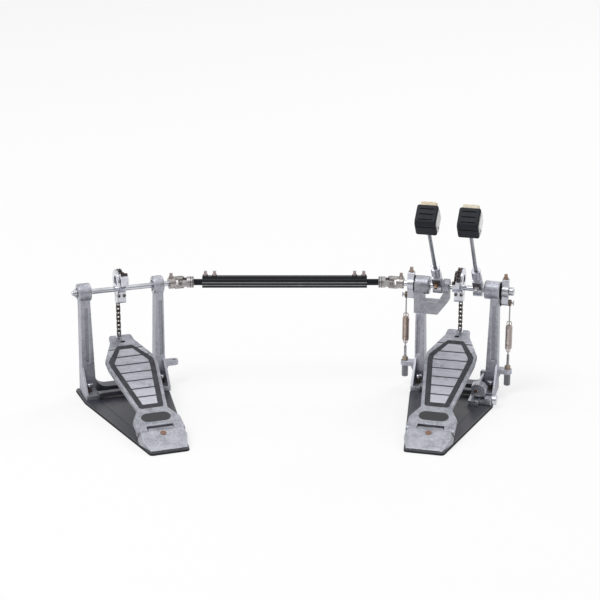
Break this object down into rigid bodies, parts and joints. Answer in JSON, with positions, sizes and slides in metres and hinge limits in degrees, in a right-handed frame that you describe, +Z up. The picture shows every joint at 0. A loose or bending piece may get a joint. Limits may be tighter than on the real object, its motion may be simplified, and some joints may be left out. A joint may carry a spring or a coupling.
{
  "type": "double bass drum pedal",
  "caption": "Double bass drum pedal: a main pedal with twin beaters, chain drive and springs, joined by a telescoping universal-joint shaft to a slave pedal.",
  "frame": {"origin": "on the floor under the middle of the main pedal's axle, on the underside of its rubber pad", "axes": "+X along the drive link from the slave pedal to the main pedal, +Y from the player to the drum, +Z up"},
  "size_m": [0.8135, 0.3593, 0.391],
  "materials": {
    "cast_metal": "dull sand cast, lightly worn",
    "black_rubber": "matt black rubber",
    "base_coating": "dark grey powder coat, satin",
    "chrome": "polished chrome",
    "zinc": "zinc plated, dulled and spotted with rust",
    "spring_steel": "aged spring steel",
    "chain_steel": "oiled roller chain",
    "link_black": "black anodised",
    "felt": "tan pressed felt",
    "pale_plastic": "white moulded plastic"
  },
  "bodies": {
    "main_frame": {"main_base_pad": "black_rubber", "main_base_plate": "base_coating", "main_frame": "cast_metal", "main_offset_bracket": "cast_metal", "main_bearings": "zinc", "main_heel_plate": "cast_metal", "main_hinge_pin": "zinc", "main_fasteners": "zinc", "clamp_base": "chrome", "right_spring_tensioner": "zinc", "left_spring_tensioner": "zinc"},
    "main_footboard": {"main_footboard": "cast_metal", "main_footboard_inserts": "black_rubber"},
    "right_axle": {"right_axle": "zinc", "right_cam": "zinc", "right_chain_wrap": "chain_steel", "right_beater_hub": "zinc", "right_rocker": "zinc", "right_axle_bolts": "zinc"},
    "right_beater": {"right_beater_rod": "chrome", "right_beater_head": "black_rubber", "right_beater_felt": "felt", "right_beater_face": "pale_plastic"},
    "main_chain": {"main_chain_run": "chain_steel"},
    "right_spring": {"right_spring": "spring_steel"},
    "right_spring_ring": {"right_spring_ring": "zinc"},
    "left_axle": {"left_axle": "zinc", "left_beater_hub": "zinc", "left_rocker": "zinc", "left_axle_bolts": "zinc", "left_yoke": "zinc"},
    "left_beater": {"left_beater_rod": "chrome", "left_beater_head": "black_rubber", "left_beater_felt": "felt", "left_beater_face": "pale_plastic"},
    "left_spring": {"left_spring": "spring_steel"},
    "left_spring_ring": {"left_spring_ring": "zinc"},
    "main_joint_cross": {"main_joint_cross": "zinc"},
    "drive_link": {"link_tube": "link_black", "link_bolts": "zinc", "link_shaft_right": "link_black"},
    "slave_frame": {"slave_base_pad": "black_rubber", "slave_base_plate": "base_coating", "slave_frame": "cast_metal", "slave_bearings": "zinc", "slave_heel_plate": "cast_metal", "slave_hinge_pin": "zinc", "slave_fasteners": "zinc"},
    "link_shaft_left": {"link_shaft_left": "link_black"},
    "slave_joint_cross": {"slave_joint_cross": "zinc"},
    "slave_axle": {"slave_axle": "zinc", "slave_cam": "zinc", "slave_chain_wrap": "chain_steel", "slave_yoke": "zinc", "slave_axle_bolts": "zinc"},
    "slave_footboard": {"slave_footboard": "cast_metal", "slave_footboard_inserts": "black_rubber"},
    "slave_chain": {"slave_chain_run": "chain_steel"},
    "clamp_jaw": {"clamp_jaw": "chrome"},
    "clamp_screw": {"clamp_screw": "chrome"}
  },
  "joints": [
    {"name": "right_axle_turn", "type": "hinge", "parent": "main_frame", "child": "right_axle", "pos_m": [0, 0, 0.2], "axis": [-0.9681, 0.2504, 0], "range_deg": [-8, 48], "stiffness_Nm_per_rad": 2},
    {"name": "main_footboard_hinge", "type": "hinge", "parent": "main_frame", "child": "main_footboard", "pos_m": [-0.06435, -0.24881, 0.0185], "axis": [-0.9681, 0.2504, 0], "range_deg": [-0.91, 3.99]},
    {"name": "main_chain_swing", "type": "hinge", "parent": "right_axle", "child": "main_chain", "pos_m": [0.00451, 0.01743, 0.215], "axis": [-0.9681, 0.2504, 0], "range_deg": [-47.41, 8.15], "deforming": ["main_chain_run"]},
    {"name": "right_beater_height", "type": "slide", "parent": "right_axle", "child": "right_beater", "axis": [-0.1576, -0.6093, 0.7771], "range_m": [-0.005, 0.012]},
    {"name": "right_spring_swing", "type": "hinge", "parent": "main_frame", "child": "right_spring", "pos_m": [0.09391, -0.02429, 0.09352], "axis": [-0.9681, 0.2504, 0], "range_deg": [-11.28, 2.13]},
    {"name": "right_spring_stretch", "type": "slide", "parent": "right_spring", "child": "right_spring_ring", "axis": [0, 0, 1], "range_m": [-0.00159, 0.00803], "deforming": ["right_spring"]},
    {"name": "left_axle_turn", "type": "hinge", "parent": "main_frame", "child": "left_axle", "pos_m": [0, 0, 0.2], "axis": [-0.9681, 0.2504, 0], "range_deg": [-8, 48], "stiffness_Nm_per_rad": 2},
    {"name": "left_beater_height", "type": "slide", "parent": "left_axle", "child": "left_beater", "axis": [-0.1576, -0.6093, 0.7771], "range_m": [-0.005, 0.012]},
    {"name": "left_spring_swing", "type": "hinge", "parent": "main_frame", "child": "left_spring", "pos_m": [-0.09391, 0.02429, 0.09352], "axis": [-0.9681, 0.2504, 0], "range_deg": [-11.28, 2.13]},
    {"name": "left_spring_stretch", "type": "slide", "parent": "left_spring", "child": "left_spring_ring", "axis": [0, 0, 1], "range_m": [-0.00159, 0.00803], "deforming": ["left_spring"]},
    {"name": "main_joint_pin", "type": "hinge", "parent": "left_axle", "child": "main_joint_cross", "pos_m": [-0.12199, 0.03155, 0.2], "axis": [0, 0, 1], "range_deg": [-3.87, 0.9]},
    {"name": "drive_link_turn", "type": "hinge", "parent": "main_frame", "child": "drive_link", "pos_m": [-0.12199, 0.03155, 0.2], "axis": [-1, 0, 0], "range_deg": [-8.11, 47.15]},
    {"name": "link_telescope", "type": "slide", "parent": "main_frame", "child": "slave_frame", "axis": [1, 0, 0], "range_m": [-0.06, 0.01]},
    {"name": "link_shaft_turn", "type": "hinge", "parent": "slave_frame", "child": "link_shaft_left", "pos_m": [-0.51399, 0.03155, 0.2], "axis": [-1, 0, 0], "range_deg": [-8.11, 47.15]},
    {"name": "slave_axle_turn", "type": "hinge", "parent": "slave_frame", "child": "slave_axle", "pos_m": [-0.62145, -0.00651, 0.2], "axis": [-0.9426, -0.3338, 0], "range_deg": [-8.46, 49.26]},
    {"name": "slave_joint_pin", "type": "hinge", "parent": "slave_axle", "child": "slave_joint_cross", "pos_m": [-0.51399, 0.03155, 0.2], "axis": [0, 0, 1], "range_deg": [-1.11, 5.16]},
    {"name": "slave_footboard_hinge", "type": "hinge", "parent": "slave_frame", "child": "slave_footboard", "pos_m": [-0.53566, -0.24876, 0.0185], "axis": [-0.9426, -0.3338, 0], "range_deg": [-0.93, 4.06]},
    {"name": "slave_chain_swing", "type": "hinge", "parent": "slave_axle", "child": "slave_chain", "pos_m": [-0.62746, 0.01046, 0.215], "axis": [-0.9426, -0.3338, 0], "range_deg": [-48.2, 8.28], "deforming": ["slave_chain_run"]},
    {"name": "clamp_jaw_turn", "type": "hinge", "parent": "main_frame", "child": "clamp_jaw", "pos_m": [0.04889, -0.01264, 0.0285], "axis": [-0.2504, -0.9681, 0], "range_deg": [0, 40]},
    {"name": "clamp_screw_turn", "type": "hinge", "parent": "main_frame", "child": "clamp_screw", "pos_m": [0.06301, -0.09583, 0.015], "axis": [0.9681, -0.2504, 0], "range_deg": [-5, 605]}
  ],
  "couplings": [
    {"joint": "main_footboard_hinge", "follows": "right_axle_turn", "ratio": 0.076789},
    {"joint": "main_chain_swing", "follows": "right_axle_turn", "ratio": -0.98151},
    {"joint": "right_spring_swing", "follows": "right_axle_turn", "ratio": -0.22874},
    {"joint": "right_spring_stretch", "follows": "right_axle_turn", "m_per_rad": 0.009225},
    {"joint": "left_spring_swing", "follows": "left_axle_turn", "ratio": -0.22874},
    {"joint": "left_spring_stretch", "follows": "left_axle_turn", "m_per_rad": 0.009225},
    {"joint": "main_joint_pin", "follows": "left_axle_turn", "ratio": -0.074442},
    {"joint": "drive_link_turn", "follows": "left_axle_turn", "ratio": 0.97609},
    {"joint": "link_shaft_turn", "follows": "left_axle_turn", "ratio": 0.97609},
    {"joint": "slave_axle_turn", "follows": "left_axle_turn", "ratio": 1.0199},
    {"joint": "slave_joint_pin", "follows": "left_axle_turn", "ratio": 0.10135},
    {"joint": "slave_footboard_hinge", "follows": "left_axle_turn", "ratio": 0.078373},
    {"joint": "slave_chain_swing", "follows": "left_axle_turn", "ratio": -0.99801},
    {"joint": "clamp_screw_turn", "follows": "clamp_jaw_turn", "ratio": 15}
  ]
}
